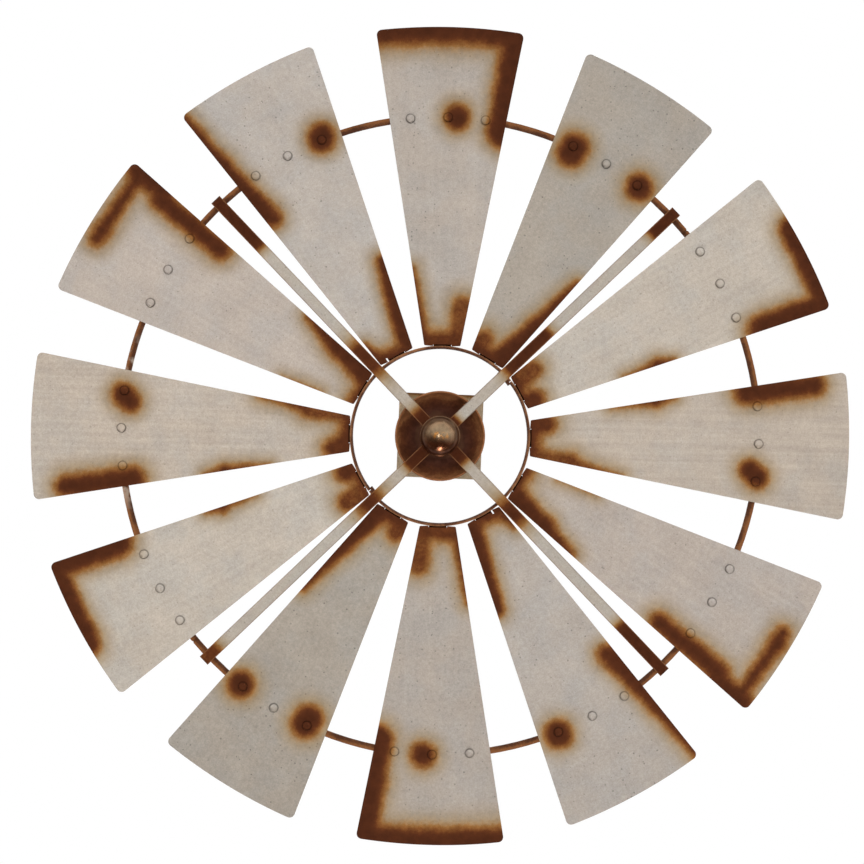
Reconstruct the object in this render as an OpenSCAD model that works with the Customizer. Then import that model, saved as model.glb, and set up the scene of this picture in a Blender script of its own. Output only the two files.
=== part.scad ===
// Garden windmill wheel for a wall or post: a twelve-blade sheet-metal wheel that spins on a fixed axle.
// The wheel lies in the XZ plane and faces -Y. +Z is up. The origin is the centre of the mounting
// plate's wall face. Each module is drawn with the wall at z = 0 and the viewer at +z, and
// face_the_viewer() turns it into place. Millimetres.

/* [Wheel] */
// diameter over the middle of the blade tips
wheel_d = 915; // [600:1:1200]
// distance from the wall to the back of the blades
blade_plane_z = 50; // [45:0.5:80]
// how far the wheel is turned clockwise at rest, in degrees
parked_turn = -0.9; // [-15:0.1:15]

/* [Blades] */
// thickness of the blade sheet
blade_t = 1; // [0.6:0.1:1.6]
// half the width of the inner end
blade_inner_half_w = 20.2; // [15:0.1:22]
// half the width of the outer end, before its corners are rounded
blade_outer_half_w = 83; // [60:0.5:86]
// radius of the rounded corners at the tip
blade_corner_r = 6; // [3:0.5:9]
// radius of the rounded corners at the inner end
blade_inner_corner_r = 1.5; // [1:0.5:6]
// radius of the arc that each tip is cut to
tip_arc_r = 600; // [480:10:900]
// half the angle that the folded tab covers on the inner ring, in degrees
tab_half_angle = 5.6; // [4:0.1:8]
// depth of the folded tab behind the blade
tab_depth = 14; // [8:1:16]
// width of the relief notch at the end of the tab
notch_w = 1.6; // [1:0.1:2.5]
// length of the relief notch
notch_len = 4.5; // [3:0.5:7]

/* [Blade rivets] */
// how far the two side rivets are from the blade's middle line
rivet_pitch = 42; // [30:0.5:43]
// shank diameter
rivet_d = 3.2; // [3:0.1:4]
// head diameter
rivet_head_d = 9.6; // [7:0.1:10]
// height of the domed head
rivet_head_h = 2.2; // [1.5:0.1:3]
// diameter of the tail formed behind the ring
rivet_tail_d = 5.4; // [4.5:0.1:6]
// height of the tail
rivet_tail_h = 1.6; // [1:0.1:2.5]

/* [Outer ring] */
// inner radius of the flat bar
outer_ring_r = 353; // [352:0.5:354]
// radial width of the bar
outer_ring_w = 7; // [6.5:0.5:10]
// thickness of the bar
outer_ring_t = 3; // [2:0.5:4]
// how far each end runs on past the arm over the other half, in degrees
outer_lap = 3.6; // [3:0.1:4]

/* [Inner ring] */
// inner radius of the hoop
hoop_r = 98; // [96:0.5:100]
// thickness of the hoop's strip
hoop_t = 3; // [2:0.5:4]
// width of the hoop's strip, measured towards the wall
hoop_w = 18; // [14:1:20]
// how far each end runs on past the arm over the other half, in degrees
hoop_lap = 5.6; // [5:0.1:6]

/* [Arms] */
// width of the flat bar
arm_w = 12.7; // [10:0.1:14]
// thickness of the flat bar
arm_t = 3; // [2:0.5:4]
// length of the tip that is bent back outside the outer ring, measured from the arm's front
arm_tip_len = 12; // [9:1:16]
// gap between the outer ring and the tip
arm_tip_gap = 1.8; // [0.2:0.1:3]

/* [Hub] */
// outer diameter of the hub sleeve
sleeve_d = 41; // [38:0.5:44]
// distance from the wall to the sleeve's back end
sleeve_back_z = 14; // [13:1:18]
// distance from the wall to the sleeve's front end
sleeve_front_z = 60; // [58:1:66]
// diameter of the dish
dish_d = 101; // [90:1:110]
// thickness of the dish's sheet
dish_t = 1.5; // [1:0.1:2]
// diameter of the dish's flat middle
dish_flat_d = 58; // [50:1:64]
// depth of the dish
dish_depth = 18; // [12:1:24]
// outer diameter of the domed cap
cap_d = 43; // [42:0.5:46]
// diameter of the cap's rolled rim
cap_rim_d = 45; // [44:0.5:48]

/* [Axle and plate] */
// diameter of the axle
axle_d = 12; // [10:1:14]
// side of the square mounting plate
plate_side = 96; // [80:1:110]
// thickness of the mounting plate
plate_t = 4; // [3:0.5:6]
// spacing of the four screw holes
screw_pitch = 76; // [60:1:80]
// diameter of the screw holes
screw_hole_d = 5.5; // [4:0.1:7]

/* [Hidden] */
blades = 12;
blade_step = 360 / blades;
arm_turns = [45, 135, 225, 315];
notched_blades = [5, 11];
hoop_front_z = blade_plane_z;
hoop_back_z = hoop_front_z - hoop_w;
hoop_out_r = hoop_r + hoop_t;
ring_front_z = blade_plane_z;
ring_back_z = ring_front_z - outer_ring_t;
outer_ring_out_r = outer_ring_r + outer_ring_w;
outer_ring_mid_r = outer_ring_r + outer_ring_w / 2;
rivet_turn = asin(rivet_pitch / outer_ring_mid_r);
blade_start_y = hoop_out_r - 2;
tip_y = wheel_d / 2;
tip_corner_y = tip_y - blade_outer_half_w * blade_outer_half_w / (2 * tip_arc_r);
tip_centre_y = tip_y - tip_arc_r;
edge_tilt = atan((blade_outer_half_w - blade_inner_half_w) / (tip_corner_y - hoop_out_r));
slip = 0.05;
bush_d = 20;
bush_flange_d = 27;
bush_flange_t = 2;
bush_len = 16;
washer_d = 24;
washer_t = 1.5;
washer_gap = 0.1;
collar_d = 22;
collar_z = sleeve_back_z - bush_flange_t - washer_t - 2 * washer_gap;
lock_nut_z = sleeve_front_z + bush_flange_t + washer_t + 2 * washer_gap;
lock_nut_h = 10;
lock_nut_flats = 19;
axle_end_z = lock_nut_z + lock_nut_h + 3;
cap_seat_z = blade_plane_z + arm_t + 0.5;
cap_rim_h = 1.6;
cap_dome_z = sleeve_front_z + 1;
joint_thread_d = 4;
joint_hole_d = 4.2;
joint_flats = 7;
joint_nut_h = 3.2;
joint_head_h = 2.8;
joint_thread_past_nut = 2;
hoop_tail = 4;
tail_inset = 0.3;
jog_angle = 1.2;
plate_corner_r = 3;

rust_brown = [0.42, 0.25, 0.14];
zinc_grey = [0.73, 0.69, 0.64];
steel_grey = [0.55, 0.55, 0.56];
bronze = [0.72, 0.53, 0.30];

// Turns the wall-at-the-back drawing so that it faces -Y.
module face_the_viewer() {
    rotate([90, 0, 0]) children();
}

// Turns a wheel piece clockwise, seen from the front, by an angle counted from the top.
module on_wheel(turn = 0) {
    face_the_viewer() rotate([0, 0, -turn - parked_turn]) children();
}

// Moves along a row of stations that all sit at one radius on the wheel.
module at_radius(r, z) {
    translate([0, r, z]) children();
}

// The three rivet stations of the blade that stands at the top.
module at_rivets() {
    for (side = [-1:1]) {
        rotate([0, 0, -side * rivet_turn]) translate([0, outer_ring_mid_r]) children();
    }
}

// A flat tube, such as a washer or a bush's flange.
module tube(outer_d, inner_d, z, h) {
    translate([0, 0, z]) difference() {
        cylinder(d = outer_d, h = h, $fn = 96);
        translate([0, 0, -1]) cylinder(d = inner_d, h = h + 2, $fn = 96);
    }
}

// A length of bar bent to a circle, from one angle to another, counted clockwise from the top.
module bent_bar(r, w, z, t, from, to) {
    translate([0, 0, z]) rotate([0, 0, 90 - to]) rotate_extrude(angle = to - from, $fn = 360)
        translate([r, 0]) square([w, t]);
}

// A hexagon nut or bolt head with its flats across the X axis.
module hexagon(flats, h) {
    cylinder(d = flats / cos(30), h = h, $fn = 6);
}

/* Blade outline */

// Half the blade's width at a height up its middle line.
function half_width(y) = blade_inner_half_w + (y - hoop_out_r) * tan(edge_tilt);

// The centre of a corner's circle of radius r, inside the slanted edge at a given height.
function corner_x(y, r) = half_width(y) - r / cos(edge_tilt);

// The height at which a circle touches both the slanted edge and the tip's arc. It solves
// (x(y))^2 + (y - tip_centre_y)^2 = (tip_arc_r - blade_corner_r)^2 along the line inside the edge.
function outer_corner_y() =
    let (slope = tan(edge_tilt))
    let (x0 = corner_x(tip_centre_y, blade_corner_r))
    let (reach = tip_arc_r - blade_corner_r)
    let (a = 1 + slope * slope)
    let (b = 2 * x0 * slope)
    let (c = x0 * x0 - reach * reach)
    tip_centre_y + (-b + sqrt(b * b - 4 * a * c)) / (2 * a);

inner_corner_y = hoop_out_r + blade_inner_corner_r;
outer_y = outer_corner_y();
inner_x = corner_x(inner_corner_y, blade_inner_corner_r);
outer_x = corner_x(outer_y, blade_corner_r);
edge_out = [cos(edge_tilt), -sin(edge_tilt)];
arc_turn = atan(outer_x / (outer_y - tip_centre_y));
arc_touch = [tip_arc_r * sin(arc_turn), tip_centre_y + tip_arc_r * cos(arc_turn)];

// The right half of the blade without its tip: the corners are cut off, and circles round them.
module half_blade_sheet() {
    polygon([
        [0, blade_start_y],
        [inner_x, hoop_out_r],
        [inner_x, inner_corner_y] + edge_out * blade_inner_corner_r,
        [outer_x, outer_y] + edge_out * blade_corner_r,
        arc_touch,
        [0, arc_touch[1]]
    ]);
    translate([inner_x, inner_corner_y]) circle(r = blade_inner_corner_r, $fn = 48);
    translate([outer_x, outer_y]) circle(r = blade_corner_r, $fn = 64);
}

// The sliver between the tip's arc and its chord.
module blade_tip() {
    intersection() {
        translate([0, tip_centre_y]) circle(r = tip_arc_r, $fn = 720);
        translate([-arc_touch[0], arc_touch[1] - 1]) square([2 * arc_touch[0], tip_arc_r]);
    }
}

module blade_outline() {
    half_blade_sheet();
    mirror([1, 0]) half_blade_sheet();
    blade_tip();
}

// A slot that opens the sheet just past the end of the fold.
module relief_notch() {
    rotate([0, 0, tab_half_angle]) translate([-notch_w - 0.4, hoop_out_r - 1])
        square([notch_w, notch_len + 1]);
}

module blade(number) {
    color(zinc_grey) on_wheel(number * blade_step) {
        translate([0, 0, blade_plane_z]) linear_extrude(blade_t) difference() {
            blade_outline();
            circle(r = hoop_out_r, $fn = 360);
            at_rivets() circle(d = rivet_d + 2 * slip, $fn = 32);
            if (len(search(number, notched_blades)) > 0) relief_notch();
        }
        bent_bar(hoop_out_r, blade_t, blade_plane_z - tab_depth, tab_depth + blade_t,
            -tab_half_angle, tab_half_angle);
    }
}

/* Rivets */

// The head's dome is a slice of a sphere. The tail is formed behind the outer ring.
module rivet() {
    head_r = rivet_head_d / 2;
    sphere_r = (head_r * head_r + rivet_head_h * rivet_head_h) / (2 * rivet_head_h);
    front_z = blade_plane_z + blade_t;
    intersection() {
        translate([0, 0, front_z + rivet_head_h - sphere_r]) sphere(r = sphere_r, $fn = 64);
        translate([0, 0, front_z]) cylinder(r = head_r, h = rivet_head_h + 1, $fn = 64);
    }
    translate([0, 0, ring_back_z - rivet_tail_h]) {
        cylinder(d = rivet_d, h = front_z - ring_back_z + rivet_tail_h + 0.1, $fn = 48);
        cylinder(d = rivet_tail_d, h = rivet_tail_h, $fn = 48);
    }
}

module blade_rivets() {
    color(zinc_grey) for (i = [1:blades]) {
        on_wheel(i * blade_step) at_rivets() rivet();
    }
}

/* Rings */

// One half of the outer ring. It starts at the joint at from_turn as a tail that lies behind the
// other half, steps forward, and ends past the opposite joint in front of the other half's tail.
module outer_ring_half(from_turn) {
    tail_end = outer_lap + 0.3;
    color(rust_brown) on_wheel(from_turn) difference() {
        union() {
            bent_bar(outer_ring_r + tail_inset, outer_ring_w - 2 * tail_inset,
                ring_back_z - outer_ring_t, outer_ring_t, -outer_lap, tail_end + jog_angle);
            bent_bar(outer_ring_r, outer_ring_w, ring_back_z, outer_ring_t,
                tail_end, 180 + outer_lap);
        }
        translate([0, 0, ring_back_z - outer_ring_t - 1]) {
            for (turn = [0, 180]) {
                rotate([0, 0, -turn]) at_radius(outer_ring_mid_r, 0)
                    cylinder(d = joint_hole_d, h = 2 * outer_ring_t + 2, $fn = 48);
            }
            for (i = [0:blades / 2 - 1]) {
                rotate([0, 0, -(i + 0.5) * blade_step]) at_rivets()
                    cylinder(d = rivet_d + 2 * slip, h = 2 * outer_ring_t + 2, $fn = 32);
            }
        }
    }
}

// One half of the inner ring. Its tail lies inside the other half's end.
module inner_ring_half(from_turn) {
    tail_end = hoop_lap + 0.4;
    color(rust_brown) on_wheel(from_turn) difference() {
        union() {
            bent_bar(hoop_r - hoop_t, hoop_t, hoop_back_z, hoop_w, -hoop_tail, tail_end + jog_angle);
            bent_bar(hoop_r, hoop_t, hoop_back_z, hoop_w, tail_end, 180 + hoop_lap);
        }
        for (turn = [0, 180]) {
            rotate([0, 0, -turn]) at_radius(hoop_r - 2 * hoop_t, hoop_back_z + hoop_w / 2)
                rotate([-90, 0, 0]) cylinder(d = joint_hole_d, h = 4 * hoop_t, $fn = 48);
        }
    }
}

/* Ring joints */

// A stud welded to the arm's back. It passes through both ends of the outer ring.
module outer_joint_studs() {
    past_ring = joint_nut_h + joint_thread_past_nut;
    color(steel_grey) for (turn = [arm_turns[0], arm_turns[2]]) {
        on_wheel(turn) at_radius(outer_ring_mid_r, ring_back_z - outer_ring_t - past_ring)
            cylinder(d = joint_thread_d, h = 2 * outer_ring_t + past_ring, $fn = 48);
    }
}

// A bolt through both ends of the inner ring, hidden behind the arm. Its head is inside the hoop.
module inner_joint_bolts() {
    head_r = joint_flats / cos(30) / 2;
    seat_r = sqrt(pow(hoop_r - hoop_t, 2) - head_r * head_r);
    thread_end_r = hoop_out_r + joint_nut_h + joint_thread_past_nut;
    color(steel_grey) for (turn = [arm_turns[0], arm_turns[2]]) {
        on_wheel(turn) at_radius(0, hoop_back_z + hoop_w / 2) rotate([-90, 0, 0]) {
            translate([0, 0, seat_r - joint_head_h]) hexagon(joint_flats, joint_head_h);
            translate([0, 0, seat_r - 1])
                cylinder(d = joint_thread_d, h = thread_end_r - seat_r + 1, $fn = 48);
        }
    }
}

module joint_nut() {
    difference() {
        hexagon(joint_flats, joint_nut_h);
        translate([0, 0, -1]) cylinder(d = joint_thread_d + 2 * slip, h = joint_nut_h + 2, $fn = 48);
    }
}

module ring_joint_nuts() {
    color(steel_grey) for (turn = [arm_turns[0], arm_turns[2]]) {
        on_wheel(turn) {
            at_radius(outer_ring_mid_r, ring_back_z - outer_ring_t - joint_nut_h) joint_nut();
            at_radius(hoop_out_r, hoop_back_z + hoop_w / 2) rotate([-90, 0, 0]) joint_nut();
        }
    }
}

/* Arms */

// The arm seen from its side, with its length along X and its thickness along Y. The bend at the tip
// is a quarter ring, and the tip hangs down outside the outer ring.
module arm_profile() {
    tip_in = outer_ring_out_r + arm_tip_gap;
    bend_in = 0.6;
    bend_out = bend_in + arm_t;
    bend_x = tip_in - bend_in;
    square([bend_x, arm_t]);
    translate([bend_x, -bend_in]) intersection() {
        difference() {
            circle(r = bend_out, $fn = 64);
            circle(r = bend_in, $fn = 64);
        }
        square(bend_out + 1);
    }
    translate([tip_in, arm_t - arm_tip_len]) square([arm_t, arm_tip_len - bend_out]);
}

module arm(turn) {
    color(zinc_grey) on_wheel(turn) difference() {
        translate([arm_w / 2, 0, blade_plane_z]) rotate([90, 0, -90]) mirror([1, 0, 0])
            linear_extrude(arm_w) arm_profile();
        translate([0, 0, blade_plane_z - 1]) cylinder(d = sleeve_d, h = arm_t + 2, $fn = 96);
    }
}

/* Hub */

// A spun dish with a flat middle and a curved wall, open towards the viewer. Its rim touches the arms.
module hub_dish() {
    flat_r = dish_flat_d / 2;
    wall_w = dish_d / 2 - flat_r;
    rim_z = blade_plane_z;
    bowl_r = (wall_w * wall_w + dish_depth * dish_depth) / (2 * dish_depth);
    color(rust_brown) on_wheel() translate([0, 0, rim_z - dish_depth]) rotate_extrude($fn = 180) {
        translate([sleeve_d / 2, 0]) square([flat_r - sleeve_d / 2, dish_t]);
        intersection() {
            translate([flat_r, bowl_r]) difference() {
                circle(r = bowl_r, $fn = 180);
                circle(r = bowl_r - dish_t, $fn = 180);
            }
            translate([flat_r, 0]) square([wall_w + dish_t, dish_depth]);
        }
    }
}

module hub_sleeve() {
    color(steel_grey) on_wheel()
        tube(sleeve_d, bush_d, sleeve_back_z, sleeve_front_z - sleeve_back_z);
}

// A flanged bush, drawn with its flange below z = 0 and its barrel above.
module flanged_bush() {
    difference() {
        union() {
            translate([0, 0, -bush_flange_t]) cylinder(d = bush_flange_d, h = bush_flange_t, $fn = 96);
            translate([0, 0, -bush_flange_t]) cylinder(d = bush_d, h = bush_len + bush_flange_t, $fn = 96);
        }
        translate([0, 0, -bush_flange_t - 1])
            cylinder(d = axle_d + 2 * slip, h = bush_len + bush_flange_t + 2, $fn = 96);
    }
}

module rear_bush() {
    color(bronze) on_wheel() translate([0, 0, sleeve_back_z]) flanged_bush();
}

module front_bush() {
    color(bronze) on_wheel() translate([0, 0, sleeve_front_z]) mirror([0, 0, 1]) flanged_bush();
}

// A pressed dome that covers the axle's end. Its skirt grips the front of the sleeve.
module hub_cap() {
    color(rust_brown) on_wheel() rotate_extrude($fn = 96) {
        translate([0, cap_dome_z]) intersection() {
            difference() {
                circle(d = cap_d, $fn = 96);
                circle(d = sleeve_d, $fn = 96);
            }
            square(cap_d);
        }
        translate([sleeve_d / 2, cap_seat_z]) {
            square([(cap_d - sleeve_d) / 2, cap_dome_z - cap_seat_z]);
            square([(cap_rim_d - sleeve_d) / 2, cap_rim_h]);
        }
    }
}

/* Mounting plate and axle, which stay still */

module rounded_square(side, r) {
    straight = side - 2 * r;
    square([straight, side], center = true);
    square([side, straight], center = true);
    for (x = [-1, 1], y = [-1, 1]) {
        translate([x * straight / 2, y * straight / 2]) circle(r = r, $fn = 48);
    }
}

module mounting_plate() {
    color(zinc_grey) face_the_viewer() linear_extrude(plate_t) difference() {
        rounded_square(plate_side, plate_corner_r);
        for (x = [-1, 1], y = [-1, 1]) {
            translate([x * screw_pitch / 2, y * screw_pitch / 2]) circle(d = screw_hole_d, $fn = 48);
        }
    }
}

// The axle is welded to the plate's front by its collar.
module axle() {
    color(steel_grey) face_the_viewer() {
        translate([0, 0, plate_t]) cylinder(d = axle_d, h = axle_end_z - plate_t, $fn = 96);
        translate([0, 0, plate_t]) cylinder(d = collar_d, h = collar_z - plate_t, $fn = 96);
    }
}

module thrust_washers() {
    color(steel_grey) face_the_viewer() {
        tube(washer_d, axle_d + 2 * slip, collar_z, washer_t);
        tube(washer_d, axle_d + 2 * slip, lock_nut_z - washer_t, washer_t);
    }
}

module lock_nut() {
    color(steel_grey) face_the_viewer() translate([0, 0, lock_nut_z]) difference() {
        hexagon(lock_nut_flats, lock_nut_h);
        translate([0, 0, -1]) cylinder(d = axle_d + 2 * slip, h = lock_nut_h + 2, $fn = 96);
    }
}

blade(1);  // blade_01
blade(2);  // blade_02
blade(3);  // blade_03
blade(4);  // blade_04
blade(5);  // blade_05
blade(6);  // blade_06
blade(7);  // blade_07
blade(8);  // blade_08
blade(9);  // blade_09
blade(10);  // blade_10
blade(11);  // blade_11
blade(12);  // blade_12
blade_rivets();
outer_ring_half(arm_turns[0]);  // outer_ring_half_a
outer_ring_half(arm_turns[2]);  // outer_ring_half_b
outer_joint_studs();
inner_ring_half(arm_turns[0]);  // inner_ring_half_a
inner_ring_half(arm_turns[2]);  // inner_ring_half_b
inner_joint_bolts();
ring_joint_nuts();
arm(arm_turns[0]);  // arm_1
arm(arm_turns[1]);  // arm_2
arm(arm_turns[2]);  // arm_3
arm(arm_turns[3]);  // arm_4
hub_dish();
hub_sleeve();
rear_bush();
front_bush();
hub_cap();
mounting_plate();
axle();
thrust_washers();
lock_nut();
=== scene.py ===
"""Garden windmill wheel: twelve galvanised blades with rusty edges on two rings, four arms and a domed hub.

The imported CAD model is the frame. The blades, their rivets, the dish and the hub cap are rebuilt here as
finer meshes, and every other CAD node keeps its mesh and gets a bevel and a procedural material.

Lengths are in millimetres and scaled by MM where they become vertices. A blade's own place is (x, y, z):
x to its clockwise side, y outwards from the hub, z forwards from its back face. "Clockwise" is as the
viewer sees the wheel, from -Y.
"""

import math
from collections import namedtuple

import bmesh
import bpy
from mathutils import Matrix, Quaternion, Vector, noise


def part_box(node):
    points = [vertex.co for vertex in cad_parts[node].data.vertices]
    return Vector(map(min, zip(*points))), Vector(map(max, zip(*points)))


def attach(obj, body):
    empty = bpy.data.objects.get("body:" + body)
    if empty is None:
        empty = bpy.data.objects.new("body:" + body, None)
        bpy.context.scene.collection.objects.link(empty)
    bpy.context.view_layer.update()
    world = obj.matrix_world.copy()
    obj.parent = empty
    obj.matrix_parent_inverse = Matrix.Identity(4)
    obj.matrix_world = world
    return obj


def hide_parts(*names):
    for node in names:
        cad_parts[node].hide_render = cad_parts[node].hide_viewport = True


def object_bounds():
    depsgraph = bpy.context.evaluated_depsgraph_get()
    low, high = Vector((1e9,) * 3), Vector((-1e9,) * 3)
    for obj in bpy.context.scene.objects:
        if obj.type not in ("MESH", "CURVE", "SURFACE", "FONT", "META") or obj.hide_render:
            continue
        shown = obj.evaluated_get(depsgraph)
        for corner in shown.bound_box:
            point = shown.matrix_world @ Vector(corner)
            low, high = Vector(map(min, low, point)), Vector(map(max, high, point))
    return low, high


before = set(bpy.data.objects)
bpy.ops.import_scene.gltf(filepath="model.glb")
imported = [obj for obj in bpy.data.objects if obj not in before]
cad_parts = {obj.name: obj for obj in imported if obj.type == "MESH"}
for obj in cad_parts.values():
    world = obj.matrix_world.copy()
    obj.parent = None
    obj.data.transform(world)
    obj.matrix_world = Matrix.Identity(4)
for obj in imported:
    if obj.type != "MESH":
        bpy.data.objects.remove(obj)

cad_low, cad_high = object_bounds()
MM = 0.001

# ---------------------------------------------------------------- sizes

BLADES = 12
BLADE_STEP = 360 / BLADES
BLADE_PAIRS = BLADES // 2
PARKED_TURN = -0.9
ARM_TURNS = {"arm_1": 45, "arm_2": 135, "arm_3": 225, "arm_4": 315}
NOTCHED_BLADES = (5, 11)

BLADE_BACK = -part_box("inner_ring_half_a")[0].y / MM
BLADE_T = -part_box("blade_12")[0].y / MM - BLADE_BACK
TIP_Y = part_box("blade_12")[1].z / MM
HOOP_OUT_R = 101.0
HOOP_T = 3.0
INNER_HALF_W = 20.2
OUTER_HALF_W = 83.0
TIP_ARC_R = 600.0
CORNER_R = 6.0
INNER_CORNER_R = 1.5
TAB_HALF_ANGLE = 5.6
TAB_DEPTH = 14.0
FOLD_R = 0.5
SLIT_ANGLE = 0.3
SLIT_LEN = FOLD_R + BLADE_T
NOTCH_W = 1.6
NOTCH_LEN = 4.5

TIP_CORNER_Y = TIP_Y - OUTER_HALF_W ** 2 / (2 * TIP_ARC_R)
TIP_CENTRE_Y = TIP_Y - TIP_ARC_R
EDGE_SLOPE = (OUTER_HALF_W - INNER_HALF_W) / (TIP_CORNER_Y - HOOP_OUT_R)
EDGE_TILT = math.atan(EDGE_SLOPE)

RING_W = 7.0
RIVET_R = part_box("outer_ring_half_a")[1].x / MM - RING_W / 2
RIVET_PITCH = 42.0
SIDE_RIVET_Y = math.sqrt(RIVET_R ** 2 - RIVET_PITCH ** 2)
RIVETS = [(-RIVET_PITCH, SIDE_RIVET_Y), (0.0, RIVET_R), (RIVET_PITCH, SIDE_RIVET_Y)]
RIVET_HEAD_R = 4.8
RIVET_HEAD_H = 2.2
RIVET_TAIL_R = 2.7
RIVET_TAIL_H = 1.6
RIVET_TAIL_BASE = -3.0
RIVET_SHANK_R = 1.6
# the groove round each rivet's head: how far its middle is outside the head, and its half width
GROOVE_GAP = 0.1
GROOVE_HALF_W = 1.1

# how far a patch of rust goes from its dark core to clean metal
RUST_FADE = 29.0
# how softly strokes of rust that meet run into each other
RUST_BLEND = 10.0


# ---------------------------------------------------------------- colours and node graphs

def srgb(red, green, blue):
    """A colour given in screen values from 0 to 255, as the linear colour that Blender works in."""
    def linear(value):
        value /= 255
        return value / 12.92 if value <= 0.04045 else ((value + 0.055) / 1.055) ** 2.4
    return linear(red), linear(green), linear(blue), 1.0


class Graph:
    """A node tree with one method for each kind of node that the materials use."""

    def __init__(self, tree):
        self.tree = tree

    def node(self, kind, values=(), **settings):
        """Adds a node. A value that is a socket is linked, and any other is set."""
        made = self.tree.nodes.new(kind)
        for name, setting in settings.items():
            setattr(made, name, setting)
        pairs = values.items() if isinstance(values, dict) else enumerate(values)
        for key, value in pairs:
            self.feed(made.inputs[key], value)
        return made

    def feed(self, socket, value):
        """Links or sets an input socket. None leaves it as it is."""
        if isinstance(value, bpy.types.NodeSocket):
            self.tree.links.new(value, socket)
        elif value is not None:
            socket.default_value = value

    def math(self, operation, a, b=None, c=None, clamp=False):
        return self.node("ShaderNodeMath", (a, b, c), operation=operation, use_clamp=clamp).outputs[0]

    def vector(self, operation, a, b=None):
        found = self.node("ShaderNodeVectorMath", (a, b), operation=operation)
        return found.outputs["Value" if operation in ("LENGTH", "DISTANCE", "DOT_PRODUCT") else "Vector"]

    def scaled(self, vector, factor):
        made = self.node("ShaderNodeVectorMath", {0: vector, "Scale": factor}, operation="SCALE")
        return made.outputs["Vector"]

    def ramp(self, factor, stops):
        """A colour ramp through stops of (position, colour)."""
        made = self.node("ShaderNodeValToRGB", (factor,))
        elements = made.color_ramp.elements
        for position, colour in stops[1:-1]:
            elements.new(position).color = colour
        elements[0].position, elements[0].color = stops[0]
        elements[-1].position, elements[-1].color = stops[-1]
        return made

    def fit(self, value, low, high, to_low=0.0, to_high=1.0):
        """Value between low and high, stretched smoothly to the new range."""
        made = self.node("ShaderNodeMapRange", (value, low, high, to_low, to_high))
        made.interpolation_type = "SMOOTHSTEP"
        return made.outputs[0]

    def mix(self, factor, a, b, blend="MIX"):
        values = {0: factor, 6: a, 7: b}
        return self.node("ShaderNodeMix", values, data_type="RGBA", blend_type=blend).outputs[2]

    def noise(self, place, grain, detail=2.0, roughness=0.5):
        """Noise from 0 to 1 whose lumps are about one grain wide."""
        values = {"Vector": place, "Scale": 1 / grain, "Detail": detail, "Roughness": roughness}
        return self.node("ShaderNodeTexNoise", values).outputs[0]

    def swing(self, value, amount):
        """Noise turned into a number that swings round zero."""
        return self.math("MULTIPLY", self.math("SUBTRACT", value, 0.5), amount)

    def total(self, *values):
        """The sum of the values."""
        found = values[0]
        for value in values[1:]:
            found = self.math("ADD", found, value)
        return found


def new_group(name, inputs, outputs):
    """A node group with the given sockets, as (its tree, a Graph, its input sockets)."""
    tree = bpy.data.node_groups.new(name, "ShaderNodeTree")
    for title, kind in inputs:
        tree.interface.new_socket(title, in_out="INPUT", socket_type="NodeSocket" + kind)
    for title, kind in outputs:
        tree.interface.new_socket(title, in_out="OUTPUT", socket_type="NodeSocket" + kind)
    entry = tree.nodes.new("NodeGroupInput")
    return tree, Graph(tree), entry.outputs


def stroke_group():
    """How far a place is from the dark core of one rust stroke, a line that can widen towards its end.

    The distance is in millimetres, divided by the stroke's fade, and never below its least.
    """
    inputs = [("Place", "Vector"), ("Start", "Vector"), ("End", "Vector"), ("Start radius", "Float"),
              ("End radius", "Float"), ("Fade", "Float"), ("Least", "Float")]
    tree, g, given = new_group("rust_stroke", inputs, [("Distance", "Float")])
    along = g.vector("SUBTRACT", given["End"], given["Start"])
    away = g.vector("SUBTRACT", given["Place"], given["Start"])
    dot = g.vector("DOT_PRODUCT", away, along)
    share = g.math("DIVIDE", dot, g.vector("DOT_PRODUCT", along, along), clamp=True)
    gap = g.vector("LENGTH", g.vector("SUBTRACT", away, g.scaled(along, share)))
    widening = g.math("SUBTRACT", given["End radius"], given["Start radius"])
    radius = g.math("MULTIPLY_ADD", widening, share, given["Start radius"])
    distance = g.math("DIVIDE", g.math("SUBTRACT", gap, radius), given["Fade"])
    g.node("NodeGroupOutput", (g.math("MAXIMUM", distance, given["Least"]),))
    return tree


def rust_group():
    """Lays rust over a bare colour by the distance to its core. Amount is 1 on rust and 0 off it."""
    inputs = [("Bare", "Color"), ("Distance", "Float"), ("Place", "Vector")]
    tree, g, given = new_group("rust_over", inputs, [("Color", "Color"), ("Amount", "Float")])
    place = given["Place"]
    ragged = g.total(
        given["Distance"],
        g.swing(g.noise(place, 22.0, 2.0), 5.0),
        g.swing(g.noise(place, 4.0, 3.0, 0.65), 5.0),
        g.swing(g.noise(place, 1.1, 1.0), 2.6),
    )
    deepest = -8.0
    span = RUST_FADE - deepest

    def at(distance):
        return (distance - deepest) / span

    shades = [
        (-8, srgb(71, 35, 17)), (-3, srgb(74, 37, 18)), (0, srgb(80, 41, 20)), (2, srgb(92, 49, 23)),
        (4.5, srgb(117, 72, 35)), (7, srgb(137, 95, 52)), (10, srgb(147, 114, 70)),
        (14, srgb(148, 122, 80)), (RUST_FADE, srgb(154, 132, 92)),
    ]
    covers = [(0, 1.0), (7.5, 1.0), (10, 0.82), (13, 0.60), (17, 0.38), (22, 0.17), (RUST_FADE, 0.0)]
    level = g.math("DIVIDE", g.math("SUBTRACT", ragged, deepest), span, clamp=True)
    shade = g.ramp(level, [(at(distance), colour) for distance, colour in shades]).outputs["Color"]
    cover = g.ramp(level, [(at(distance), (amount,) * 4) for distance, amount in covers]).outputs["Color"]
    blotch = g.fit(g.noise(place, 9.0, 4.0, 0.6), 0.3, 0.7, 0.86, 1.12)
    shade = g.scaled(shade, blotch)
    g.node("NodeGroupOutput", (g.mix(cover, given["Bare"], shade), cover))
    return tree


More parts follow.
